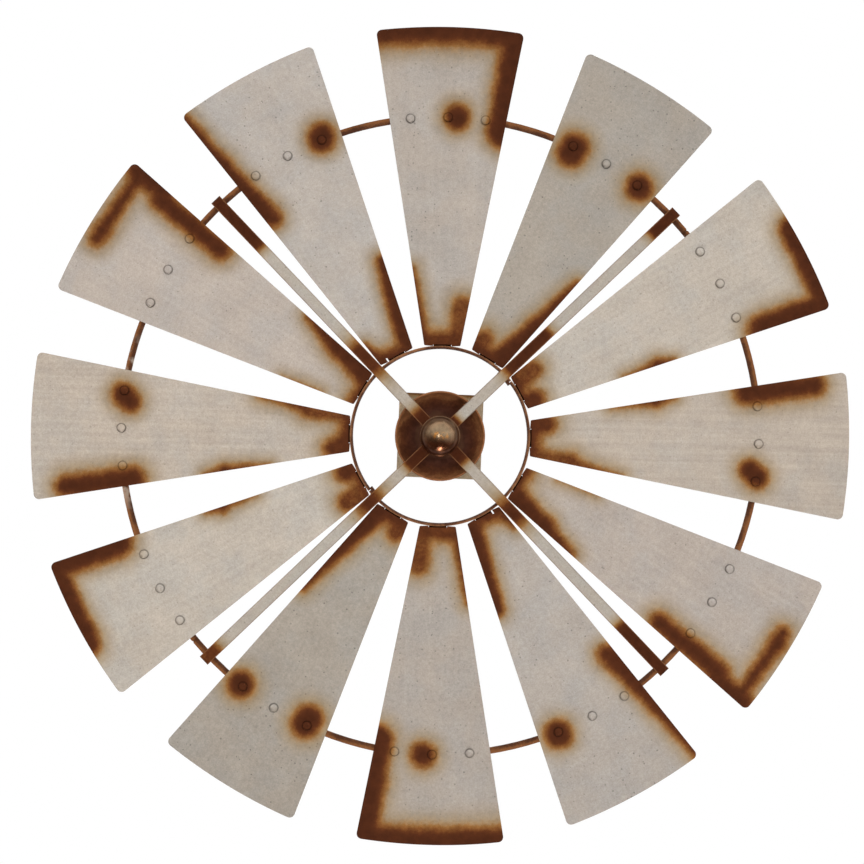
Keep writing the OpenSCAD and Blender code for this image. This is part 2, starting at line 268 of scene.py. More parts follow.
def sheet_group():
    """Bare galvanised paint: a tone with fine grain, soft clouds, lengthwise streaks and dark specks."""
    inputs = [("Tone", "Color"), ("Place", "Vector"), ("Specks", "Float"), ("Streaks", "Float")]
    tree, g, given = new_group("galvanised", inputs, [("Color", "Color"), ("Height", "Float")])
    place = given["Place"]
    drawn_out = g.vector("MULTIPLY", place, (1.0, 0.035, 1.0))
    grain = g.noise(place, 1.6, 2.0, 0.6)
    height = g.total(
        g.swing(grain, 0.50),
        g.swing(g.noise(place, 4.5, 3.0, 0.6), 0.36),
        g.swing(g.noise(place, 38.0, 2.0), 0.26),
        g.math("MULTIPLY", g.swing(g.noise(drawn_out, 4.5, 3.0), 1.0), given["Streaks"]),
    )
    cool = g.fit(g.noise(place, 45.0, 3.0, 0.6), 0.38, 0.66)
    tone = g.mix(cool, given["Tone"], (0.96, 0.995, 1.035, 1.0), "MULTIPLY")
    speck_cell = 5.0
    cells = g.node("ShaderNodeTexVoronoi", {"Vector": place, "Scale": 1 / speck_cell})
    chance = g.node("ShaderNodeSeparateColor", (cells.outputs["Color"],)).outputs[0]
    reach = g.fit(chance, 0.40, 1.0, 0.0, 0.20)
    speck = g.math("LESS_THAN", cells.outputs["Distance"], reach)
    darkening = g.math("MULTIPLY", speck, given["Specks"])
    light = g.math("SUBTRACT", g.math("ADD", height, 1.0), darkening)
    g.node("NodeGroupOutput", (g.scaled(tone, light), light))
    return tree


STROKE = stroke_group()
RUST = rust_group()
SHEET = sheet_group()


class Finish(Graph):
    """A material under construction: a Graph with the groups above and one Principled shader."""

    def __init__(self, name):
        self.material = bpy.data.materials.new(name)
        self.material.use_nodes = True
        super().__init__(self.material.node_tree)
        self.shader = self.tree.nodes["Principled BSDF"]

    def group(self, tree, *values):
        """Adds one of the groups above, filled in order, and returns its outputs."""
        made = self.tree.nodes.new("ShaderNodeGroup")
        made.node_tree = tree
        for socket, value in zip(made.inputs, values):
            self.feed(socket, value)
        return made.outputs[:]

    def place(self):
        """The place in the row frame at rest, in millimetres. It turns with the body."""
        return self.scaled(self.node("ShaderNodeTexCoord").outputs["Object"], 1 / MM)

    def from_axle(self, place):
        """How far a place is from the axle's line, in millimetres."""
        return self.vector("LENGTH", self.vector("MULTIPLY", place, (1.0, 0.0, 1.0)))

    def rust_distance(self, place, strokes):
        """The distance to the nearest rust core among the strokes."""
        nearest = None
        for stroke in strokes:
            found = self.group(STROKE, place, *stroke)[0]
            nearest = found if nearest is None else self.math("SMOOTH_MIN", nearest, found, RUST_BLEND)
        return nearest

    def bump(self, height, depth):
        """Tilts the surface by a height whose full swing is this many millimetres."""
        values = {"Strength": 1.0, "Distance": depth * MM, "Height": height}
        self.feed(self.shader.inputs["Normal"], self.node("ShaderNodeBump", values).outputs[0])

    def surface(self, colour, roughness, metallic=0.0, gloss=0.5):
        """Sets the shader. Gloss is the strength of its reflections where it isn't metal."""
        self.feed(self.shader.inputs["Base Color"], colour)
        self.feed(self.shader.inputs["Roughness"], roughness)
        self.feed(self.shader.inputs["Metallic"], metallic)
        self.shader.inputs["Specular IOR Level"].default_value = gloss
        return self.material


# ---------------------------------------------------------------- rust on the blades

Stroke = namedtuple("Stroke", "start end start_r end_r fade least")
CLOCKWISE, COUNTER = 1, -1
DARKEST = -20.0


def half_width(y):
    """Half the blade's width at a height up its middle."""
    return INNER_HALF_W + (y - HOOP_OUT_R) * EDGE_SLOPE


def tip_y(x):
    """The height of the tip's arc."""
    return TIP_CENTRE_Y + math.sqrt(TIP_ARC_R ** 2 - x * x)


def line(x0, y0, x1, y1, r0, r1=None, fade=1.25, least=DARKEST):
    """A stroke from one point to another, with a core radius at each end."""
    return [Stroke((x0, y0, 0.0), (x1, y1, 0.0), r0, r0 if r1 is None else r1, fade, least)]


def blob(x, y, r, fade=1.25, least=DARKEST):
    """A round spot, drawn as a very short stroke."""
    return line(x, y, x, y + 0.1, r, r, fade, least)


def edge(side, y0, y1, w0, w1=None, fade=1.25, least=DARKEST):
    """A stroke along a side edge. Its widths are measured in from the edge."""
    return line(side * half_width(y0), y0, side * half_width(y1), y1, w0, w1, fade, least)


def tip(x0, x1, width, fade=1.0, inset=0.0, least=DARKEST):
    """A stroke along the tip, in two straight pieces where it crosses the middle."""
    turns = [x0, 0.0, x1] if x0 < 0 < x1 else [x0, x1]
    found = []
    for a, b in zip(turns, turns[1:]):
        found += line(a, tip_y(a) - inset, b, tip_y(b) - inset, width, width, fade, least)
    return found


def inner_end(y, least=0.0, fade=1.3):
    """The brown inner end, which starts to fade a little below a height."""
    half_w = 14
    low_y = HOOP_OUT_R - 14
    core_end_y = y - 8
    return line(-half_w, low_y, half_w, low_y, core_end_y - low_y, None, fade, least)


PATTERNS = {
    0: [
        *tip(-83, 83, 10, 1.3),
        *edge(CLOCKWISE, 440, 385, 17, 13, 1.1), *edge(CLOCKWISE, 385, 343, 13, 14, 1.0),
        *blob(10, 357, 8, 1.0),
        *edge(COUNTER, 186, 110, -3, 1, 0.9), *line(21, 144, 21, 108, 4, 6, 1.1, 3),
        *inner_end(117, 1),
    ],
    1: [
        *line(-40, 347, -40, 353, 10, 10, 1.0), *blob(45, 353, 9, 1.0),
        *edge(CLOCKWISE, 224, 160, -1, 6, 0.9), *edge(CLOCKWISE, 160, 106, 6, 16, 0.9),
        *line(-14, 118, -18, 106, 2, 6, 1.1, 3), *inner_end(115, -2),
    ],
    2: [
        *tip(-15, 83, 9), *edge(CLOCKWISE, 440, 374, 13, 11, 1.1),
        *edge(CLOCKWISE, 270, 252, -4, 0, 0.9), *edge(CLOCKWISE, 252, 212, 0, -6, 0.9),
        *line(-15, 126, -15, 108, 3, 6, 1.1, 3), *line(15, 112, 18, 104, 5, 9, 1.1, -1),
        *inner_end(110, 1),
    ],
    3: [
        *line(-67, 416, -58, 342, 5.5, 7.5, 1.1), *line(30, 347, 37, 355, 6, 7, 0.95),
        *edge(COUNTER, 262, 240, -5, 0, 0.9), *edge(COUNTER, 240, 190, 0, -6, 0.9),
        *edge(CLOCKWISE, 204, 150, -7, 1, 1.0, 3), *line(23, 148, 24, 112, -1, 3, 1.1, 3),
        *line(-17, 119, -15, 106, 4, 7, 1.1, 0), *inner_end(112, -1),
    ],
    4: [
        *tip(-12, 78, 1, 1.1, 15), *edge(CLOCKWISE, 440, 408, 11, 8, 1.1),
        *line(63, 404, 50, 318, 5, 4.5, 1.1),
        *edge(CLOCKWISE, 194, 150, -2, 8, 1.0), *edge(CLOCKWISE, 150, 106, 8, 14, 1.0),
        *edge(COUNTER, 185, 138, -7, -6, 0.9), *inner_end(110, -1),
    ],
    5: [
        *edge(COUNTER, 450, 379, 0, 4, 1.0), *edge(COUNTER, 379, 314, 4, 12, 1.0), *blob(-47, 303, 4, 1.0),
        *blob(43, 356, 9.5, 1.0), *edge(CLOCKWISE, 200, 112, 4, 10, 0.9),
        *edge(COUNTER, 128, 112, -2, 2, 0.9, 2), *inner_end(113, -3),
    ],
}

# the bare tone of each pair of opposite blades, and how strong its specks and streaks are
TONES = {
    0: (srgb(163, 154, 145), 0.34, 0.12),
    1: (srgb(154, 146, 136), 0.38, 0.10),
    2: (srgb(175, 166, 155), 0.20, 0.22),
    3: (srgb(172, 161, 149), 0.18, 0.34),
    4: (srgb(169, 159, 150), 0.24, 0.20),
    5: (srgb(167, 159, 151), 0.38, 0.12),
}
# how far apart neighbouring blades lie in the noise, so that their grain differs
NOISE_STEP = (211.0, 97.0, 53.0)


def rivet_groove(g, place):
    """How deep a place is in the groove pressed round the nearest rivet, from 0 to 1."""
    flat = g.vector("MULTIPLY", place, (1.0, 1.0, 0.0))
    gaps = [g.vector("DISTANCE", flat, (x, y, 0.0)) for x, y in RIVETS]
    gap = g.math("MINIMUM", g.math("MINIMUM", gaps[0], gaps[1]), gaps[2])
    off_ring = g.math("ABSOLUTE", g.math("SUBTRACT", gap, RIVET_HEAD_R + GROOVE_GAP))
    return g.fit(off_ring, 0.0, GROOVE_HALF_W, 1.0, 0.0)


def blade_material(number):
    """Galvanised sheet with the rust that this blade wears. Opposite blades wear the same rust."""
    groove_painted_shade = 0.66
    groove_height = -2.0
    finish = Finish(f"blade_{number:02d}_paint")
    attribute = finish.node("ShaderNodeAttribute", attribute_name="blade_place")
    place = finish.scaled(attribute.outputs["Vector"], 1 / MM)
    shifted = finish.vector("ADD", place, [number * step for step in NOISE_STEP])
    tone, specks, streaks = TONES[number % BLADE_PAIRS]
    bare, light = finish.group(SHEET, tone, shifted, specks, streaks)
    distance = finish.rust_distance(place, PATTERNS[number % BLADE_PAIRS])
    colour, rust = finish.group(RUST, bare, distance, shifted)
    groove = rivet_groove(finish, place)
    # painted shade: the colour darkens in the groove pressed round each rivet's head
    colour = finish.scaled(colour, finish.fit(groove, 0.0, 1.0, 1.0, groove_painted_shade))
    pressed = finish.math("MULTIPLY", groove, groove_height)
    finish.bump(finish.total(light, finish.math("MULTIPLY", rust, 0.3), pressed), 0.12)
    roughness = finish.fit(rust, 0.0, 1.0, 0.46, 0.68)
    metallic = finish.fit(rust, 0.0, 0.8, 0.45, 0.0)
    return finish.surface(colour, roughness, metallic, 0.06)


# ---------------------------------------------------------------- meshes

def on_wheel(turn, x, y, z):
    """A point of a wheel piece drawn upright, in the row frame, after it is turned clockwise."""
    angle = math.radians(turn + PARKED_TURN)
    right = x * math.cos(angle) + y * math.sin(angle)
    up = y * math.cos(angle) - x * math.sin(angle)
    return Vector((right * MM, -(BLADE_BACK + z) * MM, up * MM))


def add_piece(name, bm, material, body, slot, *nodes):
    """Makes a piece of the object from a bmesh whose vertices are in the row frame."""
    bmesh.ops.recalc_face_normals(bm, faces=bm.faces)
    for face in bm.faces:
        face.smooth = True
    mesh = bpy.data.meshes.new(name)
    bm.to_mesh(mesh)
    bm.free()
    mesh.materials.append(material)
    piece = bpy.data.objects.new(name, mesh)
    bpy.context.scene.collection.objects.link(piece)
    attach(piece, body)
    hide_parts(*nodes)
    return piece


def round_edges(piece, width, limit=35.0):
    """Rounds the sharp edges a little, so that they catch the light."""
    bevel = piece.modifiers.new("rounded_edges", "BEVEL")
    bevel.width = width * MM
    bevel.segments = 2
    bevel.limit_method = "ANGLE"
    bevel.angle_limit = math.radians(limit)
    bevel.harden_normals = True


def arc(centre_x, centre_y, radius, first, last, steps):
    """Points on an arc, by angles in degrees counted from +x towards +y."""
    angles = [math.radians(first + (last - first) * i / steps) for i in range(steps + 1)]
    return [(centre_x + radius * math.cos(a), centre_y + radius * math.sin(a)) for a in angles]


def polar(radius, angle):
    """A point at a clockwise angle from the top."""
    return radius * math.sin(math.radians(angle)), radius * math.cos(math.radians(angle))


def flat_tab_len():
    """How far the tab reaches in the flat sheet: round the fold and down the hoop."""
    return (FOLD_R + BLADE_T / 2) * math.pi / 2 + TAB_DEPTH - FOLD_R


def outer_corner():
    """The centre of the outer corner's circle, which touches the side edge and the tip's arc."""
    inset = CORNER_R / math.cos(EDGE_TILT)
    x0 = half_width(TIP_CENTRE_Y) - inset
    a = 1 + EDGE_SLOPE ** 2
    b = 2 * x0 * EDGE_SLOPE
    c = x0 ** 2 - (TIP_ARC_R - CORNER_R) ** 2
    y = TIP_CENTRE_Y + (-b + math.sqrt(b * b - 4 * a * c)) / (2 * a)
    return half_width(y) - inset, y


def half_outline(notched):
    """One half of the flat blade's outline, from the tab's middle to the tip's middle."""
    tab_steps = 4
    fold_y = HOOP_OUT_R + SLIT_LEN
    tab_r = fold_y - flat_tab_len()
    slit_top = HOOP_OUT_R + (NOTCH_LEN if notched else SLIT_LEN)
    slit = math.degrees(NOTCH_W / HOOP_OUT_R) if notched else SLIT_ANGLE
    inner_y = HOOP_OUT_R + INNER_CORNER_R
    inner_x = half_width(inner_y) - INNER_CORNER_R / math.cos(EDGE_TILT)
    outer_x, outer_y = outer_corner()
    tilt = math.degrees(EDGE_TILT)
    tip_turn = math.degrees(math.atan2(outer_y - TIP_CENTRE_Y, outer_x))
    points = [polar(tab_r, TAB_HALF_ANGLE * i / tab_steps) for i in range(tab_steps + 1)]
    points += [polar(fold_y, TAB_HALF_ANGLE)]
    if notched:
        points += [polar(slit_top, TAB_HALF_ANGLE)]
    points += [polar(slit_top, TAB_HALF_ANGLE + slit), polar(HOOP_OUT_R, TAB_HALF_ANGLE + slit)]
    points += arc(inner_x, inner_y, INNER_CORNER_R, -90, -tilt, 5)
    points += arc(outer_x, outer_y, CORNER_R, -tilt, tip_turn, 10)
    points += arc(0, TIP_CENTRE_Y, TIP_ARC_R, tip_turn, 90, 16)[1:]
    return points


def blade_outline(number):
    """The flat blade's outline. The relief notch is on the counter-clockwise side."""
    right = half_outline(False)
    left = half_outline(number in NOTCHED_BLADES)
    return right + [(-x, y) for x, y in reversed(left)][1:-1]


def sheet_depth(x, y, number):
    """The sheet's slight waves, and the hollow pressed round each rivet."""
    wave_w = 75
    wave_len = 110
    wave_h = 0.45
    noise_step = 7.3
    flat_until_y = 125
    wave_rise = 60
    hollow_r = 12.0
    hollow_slope = 7.0
    hollow_depth = 0.3
    hold_fade = 25.0
    wave = noise.noise(Vector((x / wave_w, y / wave_len, number * noise_step))) * wave_h
    wave *= min(1.0, max(0.0, (y - flat_until_y) / wave_rise))
    gap = min(math.hypot(x - rivet_x, y - rivet_y) for rivet_x, rivet_y in RIVETS)
    ring = min(1.0, max(0.0, (hollow_r - gap) / hollow_slope))
    hold = min(1.0, max(0.0, (gap - hollow_r) / hold_fade))
    return wave * hold - hollow_depth * ring * ring * (3 - 2 * ring)


def folded(x, y, z):
    """A place in the flat sheet, moved to where the fold puts it. Only the tab is folded."""
    fold_y = HOOP_OUT_R + SLIT_LEN
    radius = math.hypot(x, y)
    turn = math.degrees(math.atan2(x, y))
    if radius >= fold_y or abs(turn) > TAB_HALF_ANGLE + SLIT_ANGLE / 3:
        return x, y, z
    middle = FOLD_R + BLADE_T / 2
    past = fold_y - radius
    swing = min(past / middle, math.pi / 2)
    new_radius = fold_y - (FOLD_R + z) * math.sin(swing)
    depth = -FOLD_R + (FOLD_R + z) * math.cos(swing) - max(0.0, past - middle * math.pi / 2)
    across, up = polar(new_radius, turn)
    return across, up, depth


def cut_grid(bm, step, low, high, axis):
    """Cuts the flat face at even steps, so that it can bend."""
    for i in range(1, int((high - low) / step) + 1):
        place = low + i * step
        point = (place, 0, 0) if axis == 0 else (0, place, 0)
        normal = (1, 0, 0) if axis == 0 else (0, 1, 0)
        everything = bm.verts[:] + bm.edges[:] + bm.faces[:]
        bmesh.ops.bisect_plane(bm, geom=everything, plane_co=point, plane_no=normal)


def build_blade(number):
    """A blade cut from flat sheet, with its tab folded back over the inner ring."""
    grid = 6.0
    fold_grid = 1.0
    side = OUTER_HALF_W + 4
    # below this height the tab wears the paint of this height
    lowest_paint_y = HOOP_OUT_R - 6
    bm = bmesh.new()
    bm.faces.new([bm.verts.new((x, y, BLADE_T)) for x, y in blade_outline(number)])
    cut_grid(bm, grid, -side, side, 0)
    cut_grid(bm, grid, HOOP_OUT_R + 7, TIP_Y, 1)
    cut_grid(bm, fold_grid, HOOP_OUT_R + 0.5, HOOP_OUT_R + 6.5, 1)
    made = bmesh.ops.extrude_face_region(bm, geom=bm.faces[:])
    for vert in made["geom"]:
        if isinstance(vert, bmesh.types.BMVert):
            vert.co.z -= BLADE_T
    layer = bm.verts.layers.float_vector.new("blade_place")
    for vert in bm.verts:
        x, y, z = vert.co
        vert[layer] = Vector((x, max(y, lowest_paint_y), z)) * MM
        x, y, z = folded(x, y, z)
        vert.co = on_wheel(number * BLADE_STEP, x, y, z + sheet_depth(x, y, number))
    name = f"blade_{number:02d}"
    piece = add_piece(name + "_sheet", bm, MATERIALS[name], "wheel", "galvanised_sheet", name)
    round_edges(piece, 0.25, 50)


def lathe(bm, profile, segments, to_frame):
    """Turns a closed profile of (radius, height) round an axis. to_frame places (x, y, height)."""
    rings = []
    for i in range(segments):
        angle = 2 * math.pi * i / segments
        c, s = math.cos(angle), math.sin(angle)
        rings.append([bm.verts.new(to_frame(r * c, r * s, h)) for r, h in profile])
    for i, ring in enumerate(rings):
        following = rings[(i + 1) % segments]
        for j in range(len(profile)):
            k = (j + 1) % len(profile)
            bm.faces.new((ring[j], ring[k], following[k], following[j]))
    return [vert for ring in rings for vert in ring]


def rivet_profile():
    """A flat-topped head on a shank, with the tail formed behind the outer ring."""
    flatness = 2 / 3
    dome_step = 6
    # the ends reach almost to the axis, so that no hole can be seen
    axis_r = 0.02
    tail_edge = 0.5
    head_z = BLADE_T - 0.3
    turns = [math.radians(angle) for angle in range(dome_step, 90, dome_step)]
    dome = [(RIVET_HEAD_R * math.cos(turn) ** flatness, BLADE_T + RIVET_HEAD_H * math.sin(turn) ** flatness)
            for turn in turns]
    tail = RIVET_TAIL_BASE
    tail_end = tail - RIVET_TAIL_H
    back = [(axis_r, tail_end), (RIVET_TAIL_R - tail_edge, tail_end), (RIVET_TAIL_R, tail_end + tail_edge),
            (RIVET_TAIL_R, tail), (RIVET_SHANK_R, tail)]
    top = (axis_r, BLADE_T + RIVET_HEAD_H)
    return [*back, (RIVET_SHANK_R, head_z), (RIVET_HEAD_R, head_z), *dome, top]


def build_rivets(number):
    """The three rivets that hold one blade to the outer ring, painted with the blade."""
    bm = bmesh.new()
    layer = bm.verts.layers.float_vector.new("blade_place")
    for x0, y0 in RIVETS:
        verts = lathe(bm, rivet_profile(), 32, lambda x, y, h: (x + x0, y + y0, h))
        for vert in verts:
            vert[layer] = vert.co * MM
            vert.co = on_wheel(number * BLADE_STEP, *vert.co)
    bmesh.ops.remove_doubles(bm, verts=bm.verts, dist=0.01 * MM)
    name = f"blade_{number:02d}"
    add_piece(name + "_rivets", bm, MATERIALS[name], "wheel", "painted_rivet", "blade_rivets")


MATERIALS = {}
for number in range(1, BLADES + 1):
    MATERIALS[f"blade_{number:02d}"] = blade_material(number)
    build_blade(number)
    build_rivets(number)


# ---------------------------------------------------------------- dish and cap

def from_wall(x, y, height):
    """Places a lathe's point: height is the distance from the wall."""
    return x * MM, -height * MM, y * MM


def dish_material():
    """Brown-painted dish: painted shade makes it darkest in its bottom, and a painted highlight makes it
    orange-brown and lighter at its rim.
    """
    finish = Finish("dish_paint")
    place = finish.place()
    outermost = 52.0
    radius = finish.total(
        finish.from_axle(place),
        finish.swing(finish.noise(place, 26.0, 2.0), 22.0),
        finish.swing(finish.noise(place, 3.0, 3.0, 0.6), 5.0),
    )
    # painted shade darkens the ramp towards the bottom, and a painted highlight lightens it at the rim
    shade = finish.ramp(finish.math("DIVIDE", radius, outermost), [
        (0.0, srgb(98, 66, 46)), (0.43, srgb(94, 60, 40)), (0.54, srgb(71, 36, 21)),
        (0.70, srgb(79, 41, 24)), (0.81, srgb(99, 57, 34)), (0.90, srgb(142, 93, 58)),
        (1.0, srgb(132, 86, 54)),
    ]).outputs["Color"]
    mottle = finish.fit(finish.noise(place, 6.0, 4.0, 0.6), 0.3, 0.7, 0.82, 1.15)
    finish.bump(finish.noise(place, 2.2, 3.0), 0.10)
    roughness = finish.fit(mottle, 0.82, 1.15, 0.62, 0.46)
    return finish.surface(finish.scaled(shade, mottle), roughness, 0.1, 0.12)


def build_dish():
    """The spun dish: a flat middle, a curved wall and a small rolled rim."""
    low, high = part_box("hub_dish")
    rim_r = high.x / MM
    rim_z = -low.y / MM
    back_z = -high.y / MM
    sleeve_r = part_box("hub_sleeve")[1].x / MM
    flat_r = 29.0
    sheet_t = 1.5
    roll_r = 1.1
    wall_w = rim_r - flat_r
    bowl_r = (wall_w ** 2 + (rim_z - back_z) ** 2) / (2 * (rim_z - back_z))
    centre_z = back_z + bowl_r
    last = math.degrees(math.asin((rim_z - roll_r - centre_z) / bowl_r))
    outside = arc(flat_r, centre_z, bowl_r, -90, last, 28)
    inside = arc(flat_r, centre_z, bowl_r - sheet_t, last, -90, 28)
    roll = arc(rim_r - roll_r, rim_z - roll_r, roll_r, 0, 180, 8)
    bm = bmesh.new()
    profile = [(sleeve_r, back_z), *outside, *roll, *inside, (sleeve_r, back_z + sheet_t)]
    lathe(bm, profile, 160, from_wall)
    piece = add_piece("hub_dish_spun", bm, dish_material(), "wheel", "rusted_dish", "hub_dish")
    round_edges(piece, 0.2, 50)


def cap_material():
    """Bronzed steel dome: polished in the middle, darker and browner below with painted shade, and worn
    round its rim.
    """
    finish = Finish("cap_bronze")
    place = finish.place()
    radius = finish.from_axle(place)
    ragged = finish.total(radius, finish.swing(finish.noise(place, 7.0, 3.0), 7.0))
    worn = finish.fit(ragged, 8.0, 20.0)
    brushed = finish.noise(finish.vector("MULTIPLY", place, (1.0, 1.0, 0.4)), 3.5, 2.0)
    squashed = finish.vector("LENGTH", finish.vector("MULTIPLY", place, (1.0, 0.0, 2.2)))
    near_middle = finish.fit(squashed, 13.0, 5.0)
    gold = finish.math("MULTIPLY", finish.fit(brushed, 0.38, 0.62), near_middle)
    middle = finish.mix(gold, srgb(119, 100, 78), srgb(172, 116, 52))
    colour = finish.mix(worn, middle, srgb(122, 94, 70))
    # painted shade: the colour turns dark brown towards the bottom of the dome
    height = finish.node("ShaderNodeSeparateXYZ", (place,)).outputs[2]
    painted_shade_height = finish.total(height, finish.swing(finish.noise(place, 10.0, 3.0), 8.0))
    colour = finish.mix(finish.fit(painted_shade_height, 2.0, -11.0), colour, srgb(98, 60, 40))
    colour = finish.scaled(colour, finish.fit(finish.noise(place, 8.0, 4.0, 0.6), 0.3, 0.7, 0.72, 1.3))
    finish.bump(finish.noise(place, 1.4, 2.0), 0.02)
    roughness = finish.fit(worn, 0.0, 1.0, 0.20, 0.30)
    return finish.surface(colour, roughness, 0.9)


def build_cap():
    """The pressed dome over the axle's end, with a short skirt and a rolled rim."""
    low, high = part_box("hub_cap")
    rim_r = high.x / MM
    seat_z = -high.y / MM
    top_z = -low.y / MM
    sleeve_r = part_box("hub_sleeve")[1].x / MM
    wall = 1.0
    dome_r = sleeve_r + wall
    dome_z = top_z - dome_r
    roll_r = 0.8
    neck = (dome_r + 0.3, seat_z + 1.7)
    # the dome reaches almost to its axis, so that no hole can be seen
    last = 89.9
    outer = [*arc(rim_r - roll_r, seat_z + roll_r, roll_r, -90, 90, 8), neck,
             *arc(0, dome_z, dome_r, 0, last, 40)]
    inner = [*arc(0, dome_z, sleeve_r, last, 0, 30), (sleeve_r, seat_z)]
    bm = bmesh.new()
    lathe(bm, outer + inner, 144, from_wall)
    bmesh.ops.remove_doubles(bm, verts=bm.verts, dist=0.05 * MM)
    add_piece("hub_cap_dome", bm, cap_material(), "wheel", "bronzed_cap", "hub_cap")


build_dish()
build_cap()


# ---------------------------------------------------------------- finishes of the CAD nodes

# dark bands along each arm as (from, to, core radius, fade), measured outwards from the axle
ARM_BANDS = {
    "arm_1": [(0, 16, 9, 0.45), (112, 160, 5, 0.8), (338, 370, 9, 0.7)],
    "arm_2": [(0, 28, 9, 0.6), (112, 122, 3, 1.4), (303, 370, 9, 0.7)],
    "arm_3": [(0, 38, 9, 0.6), (104, 112, 2, 1.3), (346, 370, -2, 0.9)],
    "arm_4": [(0, 26, 9, 0.8), (106, 132, 0, 1.4), (303, 370, 9, 0.7)],
}
ARM_TONE = srgb(166, 157, 146)
ARM_W = 12.7


def arm_material(name):
    """Galvanised bar with dark bands of rust along it."""
    finish = Finish(name + "_paint")
    turn = math.radians(ARM_TURNS[name] + PARKED_TURN)
    rotated = finish.node("ShaderNodeVectorRotate", {"Vector": finish.place(), "Angle": -turn})
    rotated.rotation_type = "Y_AXIS"
    parts = finish.node("ShaderNodeSeparateXYZ", (rotated.outputs[0],)).outputs
    along = finish.node("ShaderNodeCombineXYZ", (0.0, parts[2], 0.0)).outputs[0]
    shifted = finish.node("ShaderNodeCombineXYZ", (parts[0], parts[2], parts[1])).outputs[0]
    bands = []
    for first, last, radius, fade in ARM_BANDS[name]:
        bands += line(0, first, 0, last, radius, radius, fade)
    bare, light = finish.group(SHEET, ARM_TONE, shifted, 0.25, 0.2)
    colour, rust = finish.group(RUST, bare, finish.rust_distance(along, bands), shifted)
    across = finish.math("ABSOLUTE", parts[0])
    edge_start = ARM_W / 2 - 1.4
    edge_fade = 1.2
    edge_strength = 0.6
    side = finish.math("MULTIPLY", finish.fit(across, edge_start, edge_start + edge_fade), edge_strength)
    colour = finish.mix(side, colour, finish.mix(rust, srgb(92, 64, 44), srgb(140, 98, 66)))
    finish.bump(light, 0.10)
    roughness = finish.fit(rust, 0.0, 1.0, 0.44, 0.62)
    return finish.surface(colour, roughness, 0.3, 0.06)


def rust_material(name, dark, light, middle_r):
    """Rusty bar, lighter outside its middle radius and darker inside it, as painted light and shade. Bare
    metal shows in patches on its left side.
    """
    finish = Finish(name)
    place = finish.place()
    blotch = finish.noise(place, 26.0, 4.0, 0.6)
    fine = finish.noise(place, 2.4, 4.0, 0.65)
    radius = finish.from_axle(place)
    # painted light and shade: the outer side of the bar is lighter and its inner side darker
    outside = finish.fit(radius, middle_r - 2.0, middle_r + 3.0, -0.12, 0.22)
    lightness = finish.total(blotch, finish.swing(fine, 0.5), outside)
    shade = finish.mix(finish.fit(lightness, 0.3, 0.75), dark, light)
    leftward = finish.vector("DISTANCE", place, (-middle_r, 0.0, 0.0))
    patch = finish.fit(leftward, middle_r * 0.34, middle_r * 0.18)
    worn = finish.math("MULTIPLY", patch, finish.fit(finish.noise(place, 16.0, 3.0), 0.44, 0.56))
    colour = finish.mix(worn, shade, srgb(184, 170, 154))
    finish.bump(fine, 0.16)
    roughness = finish.fit(fine, 0.3, 0.7, 0.56, 0.78)
    return finish.surface(colour, roughness, 0.1, 0.1)


def steel_material(name, tone, stain, polish, metallic=0.8):
    """Plain turned or plated steel with light staining and fine turning marks."""
    finish = Finish(name)
    place = finish.place()
    rings = finish.vector("MULTIPLY", place, (0.15, 3.0, 0.15))
    marks = finish.noise(rings, 1.2, 2.0)
    blotch = finish.noise(place, 8.0, 4.0, 0.6)
    colour = finish.mix(finish.fit(blotch, 0.48, 0.70), tone, stain)
    colour = finish.scaled(colour, finish.fit(marks, 0.3, 0.7, 0.9, 1.08))
    finish.bump(marks, 0.03)
    roughness = finish.fit(blotch, 0.4, 0.7, polish, polish + 0.2)
    return finish.surface(colour, roughness, metallic)


def plate_material():
    """Mounting plate: grey-olive paint over steel with a brown top edge and rust round the axle."""
    finish = Finish("plate_paint")
    place = finish.place()
    parts = finish.node("ShaderNodeSeparateXYZ", (place,)).outputs
    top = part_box("mounting_plate")[1].z / MM
    from_top = finish.math("MULTIPLY_ADD", finish.math("SUBTRACT", top, parts[2]), 1.6, 5.0)
    ragged = finish.total(finish.from_axle(place), finish.swing(finish.noise(place, 30.0, 3.0), 44.0))
    near = finish.math("MINIMUM", from_top, finish.math("SUBTRACT", ragged, 18.0))
    bare, light = finish.group(SHEET, srgb(188, 168, 140), place, 0.3, 0.1)
    colour, rust = finish.group(RUST, bare, near, place)
    finish.bump(light, 0.12)
    roughness = finish.fit(rust, 0.0, 1.0, 0.50, 0.70)
    return finish.surface(colour, roughness, 0.2, 0.1)


def dress(material, edge_r, *nodes):
    """Gives CAD nodes a material and rounds their edges."""
    for name in nodes:
        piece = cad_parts[name]
        piece.data.materials.clear()
        piece.data.materials.append(material)
        round_edges(piece, edge_r)


for name in ARM_TURNS:
    dress(arm_material(name), 0.5, name)

ring_rust = rust_material("ring_rust", srgb(72, 42, 26), srgb(126, 80, 46), RIVET_R)
hoop_rust = rust_material("hoop_rust", srgb(74, 43, 28), srgb(142, 98, 66), HOOP_OUT_R - HOOP_T / 2)
turned_steel = steel_material("turned_steel", srgb(150, 146, 140), srgb(110, 88, 66), 0.30)
bush_bronze = steel_material("bush_bronze", srgb(176, 136, 84), srgb(120, 88, 54), 0.34)
plated_steel = steel_material("plated_steel", srgb(168, 164, 156), srgb(122, 92, 64), 0.34)

dress(ring_rust, 0.5, "outer_ring_half_a", "outer_ring_half_b")
dress(hoop_rust, 0.4, "inner_ring_half_a", "inner_ring_half_b")
dress(turned_steel, 0.4, "hub_sleeve", "axle")
dress(bush_bronze, 0.3, "rear_bush", "front_bush")
dress(plated_steel, 0.3, "outer_joint_studs", "inner_joint_bolts", "ring_joint_nuts",
      "thrust_washers", "lock_nut")
dress(plate_material(), 0.6, "mounting_plate")


# ---------------------------------------------------------------- studio

